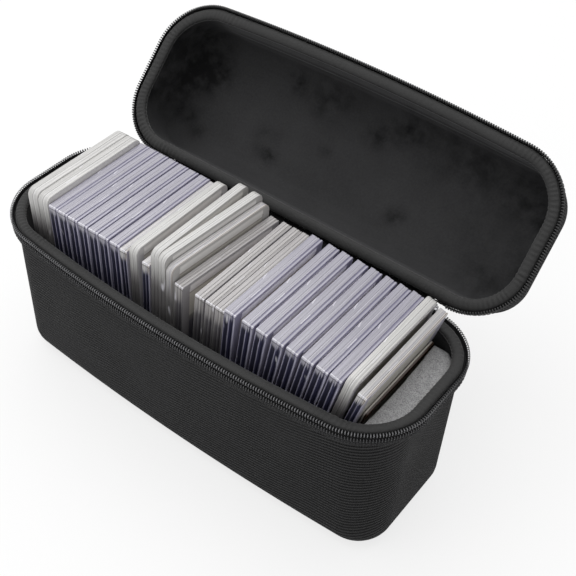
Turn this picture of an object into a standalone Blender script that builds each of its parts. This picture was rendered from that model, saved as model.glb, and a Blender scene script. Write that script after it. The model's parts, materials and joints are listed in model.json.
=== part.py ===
# Zippered hard case for graded cards, open, with its row of slabs and a foam end block.
# Metres, +Z up. X runs along the case and +Y points to the hinge side.
# The origin is on the floor, under the middle of the base rim.

import math
from collections import namedtuple

import bmesh
import bpy

# Slabs: the common width and height, and how each kind of holder departs from them
SLAB_WIDTH = 0.0820
SLAB_HEIGHT = 0.1300
WHITE_THICKNESS = 0.0084
WHITE_TALLER = 0.0035
CLEAR_THICKNESS = 0.0076
CLEAR_TALLER = 0.0005
NARROW_THICKNESS = 0.0054
NARROW_SHORTER = 0.0005
FROSTED_THICKNESS = 0.0061
FROSTED_TALLER = 0.0055
TALL_THICKNESS = 0.0055
TALL_TALLER = 0.0130
MIDDLE_THICKNESS = 0.0050
MIDDLE_TALLER = 0.0080
GREY_THICKNESS = 0.0063
GREY_SHORTER = 0.0015
SLEEVE_THICKNESS = 0.0018
SLEEVE_NARROWER = 0.0120
SLEEVE_SHORTER = 0.0260
SLEEVE_SHIFT = 0.0040
ROUND_CORNER = 0.0050
CLOSE_CORNER = 0.0033
SLEEVE_CORNER = 0.0020

# Slab edges: bevel, weld groove between the two halves, and the window set into each face
SLAB_BEVEL = 0.0005
WELD_GROOVE_HALF_WIDTH = 0.0004
WELD_GROOVE_DEPTH = 0.0004
WINDOW_FRAME = 0.0050
WINDOW_DEPTH = 0.0004
SLEEVE_FRAME = 0.0025
SLEEVE_WINDOW_DEPTH = 0.0002

# Spaces that the contents leave in the case
ROW_GAP = 0.0003
LEFT_SPACE = 0.0237
SLAB_BACK_SPACE = 0.0004
SLAB_FRONT_SPACE = 0.0006
SLAB_STAND = 0.0013
FOAM_THICKNESS = 0.0201
FOAM_TOP_DROP = 0.0105
FOAM_BACK_SPACE = 0.0053
FOAM_HOLLOW = 0.0020
FOAM_GAP = 0.0007

# Walls of both halves
GAP = 0.0003
SHELL_WALL = 0.0022
LINING_WALL = 0.0012
BODY_INSET = 0.0026

# Rim: the offsets run outwards from the groove between the band and the zip
RIM_CORNER_R = 0.0345
BAND_WIDTH = 0.0065
BAND_HEIGHT = 0.0030
BAND_CROWN = 0.0008
GROOVE_HALF_WIDTH = 0.0005
FLANGE_OUT = 0.0007
FLANGE_HEIGHT = 0.0072
FLANGE_CHAMFER = 0.0010
TAPE_OFFSET = 0.0010
TAPE_THICKNESS = 0.0008
TAPE_DROP = 0.0110
TEETH_WIDTH = 0.0016
TEETH_RISE = 0.0008
TEETH_HEIGHT = 0.0017
TEETH_CHAMFER = 0.0005

# Base and lid as moulded: depth, draft, corner and edge radii, bow of the long front side
BASE_DEPTH = 0.1155
BASE_DRAFT = 0.0023
BASE_CORNER_TOP_R = 0.0280
BASE_CORNER_LOW_R = 0.0210
BASE_EDGE_R = 0.0137
BASE_BOW = 0.0110
LID_DEPTH = 0.0485
LID_DRAFT = 0.0010
LID_CORNER_TOP_R = 0.0270
LID_CORNER_LOW_R = 0.0250
LID_EDGE_R = 0.0175
LID_BOW = 0.0060
LOW_BOW_SHARE = 0.5

# Inner edge radii as shares of the outer one
BASE_SHELL_SHARE = 0.66
BASE_LINING_SHARE = 0.36
LID_SHELL_SHARE = 0.87
LID_LINING_SHARE = 0.80

# Hinge: a fabric strip that folds along an axis behind the rims
LID_GAP = 0.0020
HINGE_OUT = 0.0057
HINGE_DROP = 0.0030
HINGE_END_SPACE = 0.0100
HINGE_THICKNESS = 0.0007
HINGE_FOLD_GAP = 0.0004
HINGE_BEND_DROP = 0.0050
LID_OPEN_DEGREES = 134.0

# Zip slider and its pull
SLIDER_LENGTH = 0.0080
SLIDER_START = 0.0010
SLIDER_CORE_HEIGHT = 0.0031
SLIDER_NOSE_SHARE = 0.6
SLIDER_PLATE_THICKNESS = 0.0012
SLIDER_PLATE_HEIGHT = 0.0058
SLIDER_BEVEL = 0.0003
PULL_BAR_R = 0.0006
PULL_EYE_R = 0.0015
PULL_BORE_R = 0.0009
PULL_WIDTH = 0.0034
PULL_LENGTH = 0.0200
PULL_THICKNESS = 0.0009

# Facets of round corners and edges
CORNER_STEPS = 6
FRONT_STEPS = 8
EDGE_STEPS = 4
SLAB_CORNER_STEPS = 2
EYE_STEPS = 12

# Sizes that follow from the ones above
RIM_TO_CAVITY = BODY_INSET + SHELL_WALL + GAP + LINING_WALL
FLOOR_THICKNESS = SHELL_WALL + GAP + LINING_WALL
RIM_HALF_WIDTH = (SLAB_WIDTH + SLAB_BACK_SPACE + SLAB_FRONT_SPACE) / 2 + RIM_TO_CAVITY + BASE_DRAFT
HINGE_Y = RIM_HALF_WIDTH + HINGE_OUT
HINGE_Z = BASE_DEPTH - HINGE_DROP
SLAB_FOOT_Z = FLOOR_THICKNESS + SLAB_STAND
SLAB_Y = RIM_HALF_WIDTH - RIM_TO_CAVITY - BASE_DRAFT - SLAB_BACK_SPACE - SLAB_WIDTH / 2
FOAM_TOP_Z = BASE_DEPTH - FOAM_TOP_DROP

Holder = namedtuple("Holder", "thickness width height corner frame window")


def slab_holder(thickness, height, corner):
    return Holder(thickness, SLAB_WIDTH, height, corner, WINDOW_FRAME, WINDOW_DEPTH)


HOLDERS = {
    "white": slab_holder(WHITE_THICKNESS, SLAB_HEIGHT + WHITE_TALLER, ROUND_CORNER),
    "clear": slab_holder(CLEAR_THICKNESS, SLAB_HEIGHT + CLEAR_TALLER, CLOSE_CORNER),
    "narrow": slab_holder(NARROW_THICKNESS, SLAB_HEIGHT - NARROW_SHORTER, CLOSE_CORNER),
    "frosted": slab_holder(FROSTED_THICKNESS, SLAB_HEIGHT + FROSTED_TALLER, ROUND_CORNER),
    "tall": slab_holder(TALL_THICKNESS, SLAB_HEIGHT + TALL_TALLER, ROUND_CORNER),
    "middle": slab_holder(MIDDLE_THICKNESS, SLAB_HEIGHT + MIDDLE_TALLER, ROUND_CORNER),
    "grey": slab_holder(GREY_THICKNESS, SLAB_HEIGHT - GREY_SHORTER, CLOSE_CORNER),
    "sleeve": Holder(
        SLEEVE_THICKNESS, SLAB_WIDTH - SLEEVE_NARROWER, SLAB_HEIGHT - SLEEVE_SHORTER,
        SLEEVE_CORNER, SLEEVE_FRAME, SLEEVE_WINDOW_DEPTH,
    ),
}

# The row from left to right: kind, lean to the right in degrees, turn about Z in degrees
ROW = (
    ("white", -2.3, 0), ("white", -2.3, 0),
    ("clear", -2.0, 0), ("clear", -2.0, 0), ("clear", -1.9, 0), ("clear", -1.7, 0),
    ("clear", -1.4, 0), ("clear", -1.2, 0), ("clear", -0.7, 0),
    ("narrow", -0.7, 0), ("frosted", 0.2, 0), ("narrow", 1.8, 0), ("tall", 2.3, 0),
    ("tall", 2.3, 4), ("middle", 2.4, 4), ("grey", 3.0, 4),
    ("grey", 4.1, 0), ("grey", 4.6, 0), ("grey", 4.8, 0),
    ("clear", 4.8, 0), ("clear", 6.7, 0), ("clear", 7.5, 0), ("clear", 8.8, 0),
    ("clear", 9.6, 0), ("clear", 10.6, 0), ("clear", 11.3, 0), ("clear", 11.7, 0),
    ("frosted", 12.3, 0), ("narrow", 13.4, 0), ("sleeve", 13.4, 0),
)

# Colours and surfaces, as red, green, blue, roughness and metallic
FINISHES = {
    "shell_fabric": (0.030, 0.030, 0.032, 0.85, 0.0),
    "lining_velvet": (0.022, 0.022, 0.023, 0.95, 0.0),
    "rim_fabric": (0.045, 0.045, 0.046, 0.80, 0.0),
    "zip_tape": (0.022, 0.022, 0.023, 0.85, 0.0),
    "zip_teeth": (0.030, 0.030, 0.030, 0.45, 0.0),
    "slider_metal": (0.180, 0.180, 0.185, 0.40, 0.9),
    "grey_foam": (0.300, 0.305, 0.310, 0.95, 0.0),
    "white": (0.720, 0.720, 0.700, 0.30, 0.0),
    "clear": (0.600, 0.590, 0.700, 0.12, 0.0),
    "narrow": (0.580, 0.570, 0.680, 0.12, 0.0),
    "frosted": (0.700, 0.700, 0.690, 0.30, 0.0),
    "tall": (0.680, 0.680, 0.670, 0.20, 0.0),
    "middle": (0.660, 0.660, 0.650, 0.20, 0.0),
    "grey": (0.560, 0.550, 0.520, 0.25, 0.0),
    "sleeve": (0.500, 0.460, 0.420, 0.20, 0.0),
}


# Scene and materials

for old in list(bpy.data.objects):
    bpy.data.objects.remove(old, do_unlink=True)

case = bpy.data.collections.new("graded_card_storage_case")
cutters = bpy.data.collections.new("cutters")
bpy.context.scene.collection.children.link(case)
bpy.context.scene.collection.children.link(cutters)


def make_material(name, finish):
    red, green, blue, roughness, metallic = finish
    material = bpy.data.materials.new(name)
    material.use_nodes = True
    shader = material.node_tree.nodes["Principled BSDF"]
    shader.inputs["Base Color"].default_value = (red, green, blue, 1)
    shader.inputs["Roughness"].default_value = roughness
    shader.inputs["Metallic"].default_value = metallic
    return material


MATERIALS = {name: make_material(name, finish) for name, finish in FINISHES.items()}


# Building blocks

def add_object(name, mesh, finish, parent=None, location=(0, 0, 0), rotation=(0, 0, 0)):
    """Put a mesh in the case collection as one named piece."""
    if not mesh.materials:
        mesh.materials.append(MATERIALS[finish])
    piece = bpy.data.objects.new(name, mesh)
    case.objects.link(piece)
    piece.parent = parent
    piece.location = location
    piece.rotation_euler = rotation
    return piece


def add_cutter(name, mesh):
    cutter = bpy.data.objects.new(name, mesh)
    cutters.objects.link(cutter)
    cutter.hide_render = True
    cutter.display_type = "WIRE"
    return cutter


def boolean(piece, cutter, operation):
    modifier = piece.modifiers.new(operation.lower() + "_" + cutter.name, "BOOLEAN")
    modifier.operation = operation
    modifier.object = cutter


def shade_round(mesh, angle_degrees=35):
    mesh.shade_smooth()
    mesh.set_sharp_from_angle(angle=math.radians(angle_degrees))


def loft(name, rings, round_path=True, round_section=False):
    """Skin rings of equally many points. The ends are capped where nothing closes them.

    Bowed walls twist their quads a little, so each is split on its shorter diagonal.
    That way two walls that run side by side keep an even gap.
    """
    bm = bmesh.new()
    rows = [[bm.verts.new(point) for point in ring] for ring in rings]
    pairs = list(zip(rows, rows[1:]))
    if round_section:
        pairs.append((rows[-1], rows[0]))
    count = len(rows[0])
    for one, two in pairs:
        for i in range(count if round_path else count - 1):
            j = (i + 1) % count
            bm.faces.new((one[i], one[j], two[j], two[i]))
    if not round_section:
        bm.faces.new(rows[0])
        bm.faces.new(rows[-1])
    if not round_path:
        bm.faces.new([row[0] for row in rows])
        bm.faces.new([row[-1] for row in rows])
    quads = [face for face in bm.faces if len(face.verts) == 4]
    bmesh.ops.triangulate(bm, faces=quads, quad_method="SHORT_EDGE")
    bmesh.ops.recalc_face_normals(bm, faces=bm.faces)
    mesh = bpy.data.meshes.new(name)
    bm.to_mesh(mesh)
    bm.free()
    return mesh


def arc(centre_x, centre_y, radius, start, end, steps):
    """Points of a circular arc, angles in degrees."""
    points = []
    for i in range(steps + 1):
        angle = math.radians(start + (end - start) * i / steps)
        points.append((centre_x + radius * math.cos(angle), centre_y + radius * math.sin(angle)))
    return points


# The row of holders decides how long the case is

Foot = namedtuple("Foot", "kind x z lean turn")


def stack_row(start_x):
    """Stand the holders side by side from the left, each leaning a little more than the last."""
    feet = []
    edge_x = edge_z = last_lean = last_turn = 0
    for kind, lean_degrees, turn_degrees in ROW:
        thickness = HOLDERS[kind].thickness
        lean = math.radians(lean_degrees)
        turn = math.radians(turn_degrees)
        foot_x = start_x
        foot_z = max(0, thickness * math.sin(lean))
        if feet:
            steps = [
                (ROW_GAP + (foot_z - edge_z) * math.sin(tilt)) / math.cos(tilt) for tilt in (last_lean, lean)
            ]
            wedge = SLAB_WIDTH / 2 * abs(math.tan(turn - last_turn))
            foot_x = edge_x + max(steps) + wedge
        feet.append(Foot(kind, foot_x, foot_z, lean, turn))
        edge_x = foot_x + thickness * math.cos(lean)
        edge_z = foot_z - thickness * math.sin(lean)
        last_lean = lean
        last_turn = turn
    return feet, edge_x - edge_z * math.tan(last_lean), last_lean


def foam_left_x(end_x, end_lean):
    """The foam block starts where the last holder's face passes its top edge."""
    return end_x + (FOAM_TOP_Z - SLAB_FOOT_Z) * math.tan(end_lean) + GAP


_, row_end_x, row_end_lean = stack_row(0)
CAVITY_LENGTH = LEFT_SPACE + foam_left_x(row_end_x, row_end_lean) + FOAM_THICKNESS + FOAM_GAP
RIM_HALF_LENGTH = CAVITY_LENGTH / 2 + RIM_TO_CAVITY
FEET, row_end_x, row_end_lean = stack_row(RIM_TO_CAVITY + LEFT_SPACE - RIM_HALF_LENGTH)
FOAM_LEFT_X = foam_left_x(row_end_x, row_end_lean)
HINGE_HALF_LENGTH = RIM_HALF_LENGTH - RIM_CORNER_R - HINGE_END_SPACE


# Outline of the case seen from above

def outline(offset, radius, bow, start_x, end_x):
    """Rounded rectangle at an offset from the groove, from the back right round the front.

    The long front side bows out by the given amount. The back between start_x and end_x
    has no points of its own, so the same path serves closed rings and open strips.
    """
    side = RIM_HALF_LENGTH + offset
    edge = RIM_HALF_WIDTH + offset
    points = [(start_x, edge)]
    points += arc(side - radius, edge - radius, radius, 90, 0, CORNER_STEPS)
    points += arc(side - radius, radius - edge, radius, 0, -90, CORNER_STEPS)
    straight = side - radius
    for i in range(1, FRONT_STEPS):
        points.append((straight - 2 * straight * i / FRONT_STEPS, -edge))
    points += arc(radius - side, radius - edge, radius, -90, -180, CORNER_STEPS)
    points += arc(radius - side, edge - radius, radius, 180, 90, CORNER_STEPS)
    points.append((end_x, edge))
    bowed = []
    for x, y in points:
        fullness = max(0, 1 - (x / RIM_HALF_LENGTH) ** 2)
        bowed.append((x, y + bow * fullness * min(0, y / edge)))
    return bowed


# One half of the case. Its depth runs from the face of the rim band into the half.

Half = namedtuple("Half", "depth draft top_r low_r edge_r shell_share lining_share bow out")
BASE = Half(
    BASE_DEPTH, BASE_DRAFT, BASE_CORNER_TOP_R, BASE_CORNER_LOW_R, BASE_EDGE_R,
    BASE_SHELL_SHARE, BASE_LINING_SHARE, BASE_BOW, -1,
)
LID = Half(
    LID_DEPTH, LID_DRAFT, LID_CORNER_TOP_R, LID_CORNER_LOW_R, LID_EDGE_R,
    LID_SHELL_SHARE, LID_LINING_SHARE, LID_BOW, 1,
)


def body_ring(half, depth, wall):
    """Ring of the moulded body at a depth, set in by a wall thickness."""
    share = depth / half.depth
    radius = half.top_r + (half.low_r - half.top_r) * share - wall
    bow = half.bow * (1 - LOW_BOW_SHARE * share)
    offset = -(BODY_INSET + half.draft * share + wall)
    points = outline(offset, radius, bow, HINGE_HALF_LENGTH, -HINGE_HALF_LENGTH)
    return [(x, y, half.out * depth) for x, y in points]


def pan_rings(half, top_depth, wall, edge_r):
    """Rings of a pan from its rim down the wall and round the rounded floor edge."""
    rings = [body_ring(half, top_depth, wall)]
    for i in range(EDGE_STEPS + 1):
        angle = math.pi / 2 * i / EDGE_STEPS
        depth = half.depth - wall - edge_r * (1 - math.sin(angle))
        inset = edge_r * (1 - math.cos(angle))
        ring = body_ring(half, depth, wall + inset)
        rings.append(ring)
    return rings


def flange_ring(half, depth, offset, radius):
    points = outline(offset, radius, half.bow, HINGE_HALF_LENGTH, -HINGE_HALF_LENGTH)
    return [(x, y, half.out * depth) for x, y in points]


def shell_mesh(name, half):
    """Outer moulded shell with the flange that the zip is sewn to."""
    top = BAND_HEIGHT + GAP
    bottom = top + FLANGE_HEIGHT
    flange_r = RIM_CORNER_R + FLANGE_OUT
    inner = pan_rings(half, top, SHELL_WALL, half.shell_share * half.edge_r)
    outer = pan_rings(half, bottom + FLANGE_CHAMFER, 0, half.edge_r)
    flange = [
        flange_ring(half, top, FLANGE_OUT, flange_r),
        flange_ring(half, bottom, FLANGE_OUT, flange_r),
    ]
    mesh = loft(name, inner[::-1] + flange + outer)
    shade_round(mesh)
    return mesh


def lining_mesh(name, half):
    """Velvet tray inside the shell."""
    top = BAND_HEIGHT + GAP
    outside = SHELL_WALL + GAP
    edge_r = half.shell_share * half.edge_r - GAP
    inner = pan_rings(half, top, outside + LINING_WALL, half.lining_share * half.edge_r)
    outer = pan_rings(half, top, outside, edge_r)
    mesh = loft(name, inner[::-1] + outer)
    shade_round(mesh)
    return mesh


def strip_mesh(name, half, section, start_x, end_x, closed):
    """Sweep a section of (offset, depth) points along the rim."""
    rings = []
    for offset, depth in section:
        points = outline(offset, RIM_CORNER_R + offset, half.bow, start_x, end_x)
        rings.append([(x, y, half.out * depth) for x, y in points])
    mesh = loft(name, rings, round_path=closed, round_section=True)
    shade_round(mesh)
    return mesh


def band_section():
    """Crowned band that covers the edge of shell and lining."""
    outer = -GROOVE_HALF_WIDTH
    inner = outer - BAND_WIDTH
    return (
        (outer, BAND_HEIGHT), (outer, BAND_CROWN), (outer - BAND_CROWN, 0),
        (inner + BAND_CROWN, 0), (inner, BAND_CROWN), (inner, BAND_HEIGHT),
    )


def tape_section():
    """Woven tape that stands outside the flange, under the teeth."""
    top = TEETH_HEIGHT - TEETH_RISE + GAP
    outer = TAPE_OFFSET + TAPE_THICKNESS
    return ((TAPE_OFFSET, top), (outer, top), (outer, TAPE_DROP), (TAPE_OFFSET, TAPE_DROP))


def teeth_section():
    """Envelope of one row of zip teeth."""
    inner = GROOVE_HALF_WIDTH
    outer = inner + TEETH_WIDTH
    low = TEETH_HEIGHT - TEETH_RISE
    return (
        (inner, low), (inner, -TEETH_RISE + TEETH_CHAMFER), (inner + TEETH_CHAMFER, -TEETH_RISE),
        (outer - TEETH_CHAMFER, -TEETH_RISE), (outer, -TEETH_RISE + TEETH_CHAMFER), (outer, low),
    )


TAPE_END_X = HINGE_HALF_LENGTH + SLIDER_START - GAP
SLIDER_LEFT_X = HINGE_HALF_LENGTH + SLIDER_START
TEETH_START_X = SLIDER_LEFT_X + SLIDER_LENGTH + GAP


def build_half(prefix, half, parent, location):
    ring_end = HINGE_HALF_LENGTH
    add_object(prefix + "_shell", shell_mesh(prefix + "_shell", half), "shell_fabric", parent, location)
    add_object(prefix + "_lining", lining_mesh(prefix + "_lining", half), "lining_velvet", parent, location)
    band = strip_mesh(prefix + "_rim_band", half, band_section(), ring_end, -ring_end, True)
    add_object(prefix + "_rim_band", band, "rim_fabric", parent, location)
    tape = strip_mesh(prefix + "_zip_tape", half, tape_section(), TAPE_END_X, -TAPE_END_X, False)
    add_object(prefix + "_zip_tape", tape, "zip_tape", parent, location)
    teeth = strip_mesh(prefix + "_zip_teeth", half, teeth_section(), TEETH_START_X, -TAPE_END_X, False)
    add_object(prefix + "_zip_teeth", teeth, "zip_teeth", parent, location)


# Base and lid. The lid hangs on an empty on the hinge axis and is turned open with it.

lid_pivot = bpy.data.objects.new("lid_pivot", None)
case.objects.link(lid_pivot)
lid_pivot.location = (0, HINGE_Y, HINGE_Z)
lid_pivot.rotation_euler = (math.radians(-LID_OPEN_DEGREES), 0, 0)
LID_PLACE = (0, -HINGE_Y, BASE_DEPTH + LID_GAP - HINGE_Z)

build_half("base", BASE, None, (0, 0, BASE_DEPTH))
build_half("lid", LID, lid_pivot, LID_PLACE)


# Hinge strip, one leaf sewn to each half, meeting at the fold

def leaf(name, path, parent, location):
    """Fabric leaf: a bent path in Y and Z drawn out along X and given its thickness."""
    bm = bmesh.new()
    left = [bm.verts.new((-HINGE_HALF_LENGTH, y, z)) for y, z in path]
    right = [bm.verts.new((HINGE_HALF_LENGTH, y, z)) for y, z in path]
    for i in range(len(path) - 1):
        bm.faces.new((left[i], left[i + 1], right[i + 1], right[i]))
    mesh = bpy.data.meshes.new(name)
    bm.to_mesh(mesh)
    bm.free()
    piece = add_object(name, mesh, "zip_tape", parent, location)
    thickness = piece.modifiers.new("thickness", "SOLIDIFY")
    thickness.thickness = HINGE_THICKNESS
    thickness.offset = 0
    thickness.use_even_offset = True


leaf_y = RIM_HALF_WIDTH + TAPE_OFFSET + HINGE_THICKNESS / 2
base_path = ((leaf_y, -TAPE_DROP), (leaf_y, -HINGE_BEND_DROP), (HINGE_Y, -HINGE_DROP))
leaf("hinge_strip_base", base_path, None, (0, 0, BASE_DEPTH))

# The lid's leaf stops short of the axis, so that it turns clear of the base's leaf
bend_y = leaf_y - HINGE_Y
bend_z = HINGE_DROP + LID_GAP + HINGE_BEND_DROP
fold_share = (HINGE_THICKNESS / 2 + HINGE_FOLD_GAP) / math.hypot(bend_y, bend_z)
lid_path = (
    (bend_y, HINGE_DROP + LID_GAP + TAPE_DROP),
    (bend_y, bend_z),
    (bend_y * fold_share, bend_z * fold_share),
)
leaf("hinge_strip_lid", lid_path, lid_pivot, (0, 0, 0))


# Zip slider, parked at the right end of the zip, and its hanging pull

def curve_mesh(name, curve):
    """Turn a curve into a welded mesh and remove the curve."""
    carrier = bpy.data.objects.new(name, curve)
    case.objects.link(carrier)
    bpy.context.view_layer.update()
    mesh = bpy.data.meshes.new_from_object(carrier.evaluated_get(bpy.context.evaluated_depsgraph_get()))
    bpy.data.objects.remove(carrier)
    bm = bmesh.new()
    bm.from_mesh(mesh)
    bmesh.ops.remove_doubles(bm, verts=bm.verts, dist=GAP / 100)
    bmesh.ops.recalc_face_normals(bm, faces=bm.faces)
    bm.to_mesh(mesh)
    bm.free()
    mesh.name = name
    return mesh


def flat_curve(name, loops, thickness):
    """Flat outline with holes, in X and Y, centred on its thickness."""
    curve = bpy.data.curves.new(name, "CURVE")
    curve.dimensions = "2D"
    curve.fill_mode = "BOTH"
    curve.extrude = thickness / 2
    for loop in loops:
        spline = curve.splines.new("POLY")
        spline.points.add(len(loop) - 1)
        for point, (x, y) in zip(spline.points, loop):
            point.co = (x, y, 0, 1)
        spline.use_cyclic_u = True
    return curve


SLIDER_X = SLIDER_LEFT_X + SLIDER_LENGTH / 2
SLIDER_CORE_Z = BASE_DEPTH + TEETH_RISE - TEETH_HEIGHT + SLIDER_CORE_HEIGHT / 2
PLATE_IN = GROOVE_HALF_WIDTH + TEETH_WIDTH + GAP
PLATE_OUT = PLATE_IN + SLIDER_PLATE_THICKNESS
PULL_Y = RIM_HALF_WIDTH + PLATE_OUT + GAP + PULL_EYE_R
PULL_Z = BASE_DEPTH


def slider_outline(height):
    """Shield outline, wide where the two rows of teeth come in, in X and Z."""
    half = SLIDER_LENGTH / 2
    tall = height / 2
    nose = tall * SLIDER_NOSE_SHARE
    return ((-half, -nose), (0, -tall), (half, -tall), (half, tall), (0, tall), (-half, nose))


def upright(mesh):
    """Stand a flat outline up, from X and Y into X and Z."""
    for vert in mesh.vertices:
        x, y, z = vert.co
        vert.co = (x, -z, y)


plate = curve_mesh(
    "zip_slider",
    flat_curve("slider_plate", [slider_outline(SLIDER_PLATE_HEIGHT)], SLIDER_PLATE_THICKNESS),
)
upright(plate)
plate_y = RIM_HALF_WIDTH + (PLATE_IN + PLATE_OUT) / 2
slider = add_object("zip_slider", plate, "slider_metal", None, (SLIDER_X, plate_y, BASE_DEPTH))

core_depth = PLATE_IN - GROOVE_HALF_WIDTH + SLIDER_BEVEL
core = curve_mesh("slider_core", flat_curve("slider_core", [slider_outline(SLIDER_CORE_HEIGHT)], core_depth))
upright(core)
core_piece = add_cutter("slider_core", core)
core_piece.location = (SLIDER_X, RIM_HALF_WIDTH + GROOVE_HALF_WIDTH + core_depth / 2, SLIDER_CORE_Z)
boolean(slider, core_piece, "UNION")

# The staple that holds the pull: two posts and the bar that the pull turns on
staple = bpy.data.curves.new("slider_staple", "CURVE")
staple.dimensions = "3D"
staple.bevel_depth = PULL_BAR_R
staple.bevel_resolution = 2
staple.use_fill_caps = True
post_x = PULL_WIDTH / 2 + GAP + PULL_BAR_R
post_y = RIM_HALF_WIDTH + PLATE_OUT - SLIDER_BEVEL
staple_path = ((-post_x, post_y), (-post_x, PULL_Y), (post_x, PULL_Y), (post_x, post_y))
staple_line = staple.splines.new("POLY")
staple_line.points.add(len(staple_path) - 1)
for point, (x, y) in zip(staple_line.points, staple_path):
    point.co = (SLIDER_X + x, y, PULL_Z, 1)
staple_piece = add_cutter("slider_staple", curve_mesh("slider_staple", staple))
boolean(slider, staple_piece, "UNION")


def pull_mesh():
    """Flat tab whose top is rolled into an eye round the staple's bar."""
    neck = math.degrees(math.asin(PULL_THICKNESS / 2 / PULL_EYE_R))
    eye = arc(0, 0, PULL_EYE_R, neck - 90, 270 - neck, EYE_STEPS)
    tail = [(-PULL_THICKNESS / 2, -PULL_LENGTH), (PULL_THICKNESS / 2, -PULL_LENGTH)]
    bore = arc(0, 0, PULL_BORE_R, 0, 360, EYE_STEPS)[:-1]
    mesh = curve_mesh("zip_pull", flat_curve("zip_pull", [eye + tail, bore], PULL_WIDTH))
    for vert in mesh.vertices:
        y, z, x = vert.co
        vert.co = (x, y, z)
    shade_round(mesh)
    return mesh


add_object("zip_pull", pull_mesh(), "slider_metal", None, (SLIDER_X, PULL_Y, PULL_Z))


# Foam block at the right end: the cavity's own shape, cut to a slice

def foam_block():
    wall = RIM_TO_CAVITY - BODY_INSET + FOAM_GAP
    rings = pan_rings(BASE, FOAM_TOP_DROP, wall, BASE_LINING_SHARE * BASE_EDGE_R)
    block = add_object("foam_block", loft("foam_block", rings), "grey_foam", None, (0, 0, BASE_DEPTH))
    back_y = RIM_HALF_WIDTH - RIM_TO_CAVITY - FOAM_BACK_SPACE
    front_y = -RIM_HALF_WIDTH - BASE_BOW
    right_x = RIM_HALF_LENGTH
    middle = (back_y + front_y) / 2
    half = (back_y - front_y) / 2
    hollow = []
    for i in range(EDGE_STEPS * 2 + 1):
        share = i / EDGE_STEPS - 1
        hollow.append((FOAM_LEFT_X + FOAM_HOLLOW * (1 - share**2), middle + half * share))
    slice_outline = hollow + [(right_x, back_y), (right_x, front_y)]
    slice_mesh = curve_mesh("foam_slice", flat_curve("foam_slice", [slice_outline], 2 * BASE_DEPTH))
    boolean(block, add_cutter("foam_slice", slice_mesh), "INTERSECT")


foam_block()


# Slabs and the card sleeve

def holder_ring(holder, x, inset):
    """Rounded rectangle in Y and Z at a place in the holder's thickness."""
    half = holder.width / 2 - inset
    radius = max(holder.corner - inset, holder.corner / 4)
    low = inset + radius
    high = holder.height - inset - radius
    ring = arc(half - radius, high, radius, 90, 0, SLAB_CORNER_STEPS)
    ring += arc(half - radius, low, radius, 0, -90, SLAB_CORNER_STEPS)
    ring += arc(radius - half, low, radius, -90, -180, SLAB_CORNER_STEPS)
    ring += arc(radius - half, high, radius, 180, 90, SLAB_CORNER_STEPS)
    return [(x, y, z) for y, z in ring]


def holder_mesh(kind):
    """Two moulded halves welded edge to edge, with a shallow window in each face."""
    holder = HOLDERS[kind]
    half = holder.thickness / 2
    bevel = min(SLAB_BEVEL, half / 4)
    groove = min(WELD_GROOVE_HALF_WIDTH, half / 4)
    left = [
        holder_ring(holder, holder.window, holder.frame),
        holder_ring(holder, 0, holder.frame),
        holder_ring(holder, 0, bevel),
        holder_ring(holder, bevel, 0),
        holder_ring(holder, half - groove, 0),
    ]
    weld = [holder_ring(holder, half, min(WELD_GROOVE_DEPTH, bevel))]
    right = [[(holder.thickness - x, y, z) for x, y, z in ring] for ring in left[::-1]]
    mesh = loft(kind, left + weld + right)
    mesh.materials.append(MATERIALS[kind])
    return mesh


holder_meshes = {kind: holder_mesh(kind) for kind in HOLDERS}
for number, foot in enumerate(FEET, start=1):
    name = "card_sleeve" if foot.kind == "sleeve" else f"slab_{number:02d}_{foot.kind}"
    shift = SLEEVE_SHIFT if foot.kind == "sleeve" else 0
    add_object(
        name,
        holder_meshes[foot.kind],
        foot.kind,
        None,
        (foot.x, SLAB_Y + shift, SLAB_FOOT_Z + foot.z),
        (0, foot.lean, -foot.turn),
    )
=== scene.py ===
# Graded card storage case: a zippered hard case, open, with a leaning row of card slabs
# and a foam block. Metres, +Z up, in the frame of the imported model.

import json
import math
from collections import namedtuple

import bmesh
import bpy
from mathutils import Matrix, Vector, noise


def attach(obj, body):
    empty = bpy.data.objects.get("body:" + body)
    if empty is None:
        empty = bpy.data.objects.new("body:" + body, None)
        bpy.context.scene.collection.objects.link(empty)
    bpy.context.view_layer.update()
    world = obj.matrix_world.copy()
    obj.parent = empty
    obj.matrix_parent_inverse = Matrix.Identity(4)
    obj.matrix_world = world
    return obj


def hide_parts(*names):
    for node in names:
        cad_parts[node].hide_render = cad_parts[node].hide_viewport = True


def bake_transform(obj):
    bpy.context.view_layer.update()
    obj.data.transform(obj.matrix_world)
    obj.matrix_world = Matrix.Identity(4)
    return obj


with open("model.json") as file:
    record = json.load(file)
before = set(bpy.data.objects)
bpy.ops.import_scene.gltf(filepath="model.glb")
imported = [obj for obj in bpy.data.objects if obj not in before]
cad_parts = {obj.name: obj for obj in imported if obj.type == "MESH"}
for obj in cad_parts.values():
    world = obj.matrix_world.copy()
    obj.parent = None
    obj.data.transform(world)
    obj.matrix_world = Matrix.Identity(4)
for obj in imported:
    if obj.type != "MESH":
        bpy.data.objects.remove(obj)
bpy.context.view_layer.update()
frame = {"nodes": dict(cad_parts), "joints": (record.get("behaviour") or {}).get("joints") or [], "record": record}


# Shells. Each half is a tray of moulded foam covered in ballistic polyester, a plain weave
# of thick yarns. The fabric is laminated to the foam before it is pressed, so it follows
# the rounded corners without seams, and a flange at the top takes the zip.

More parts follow.
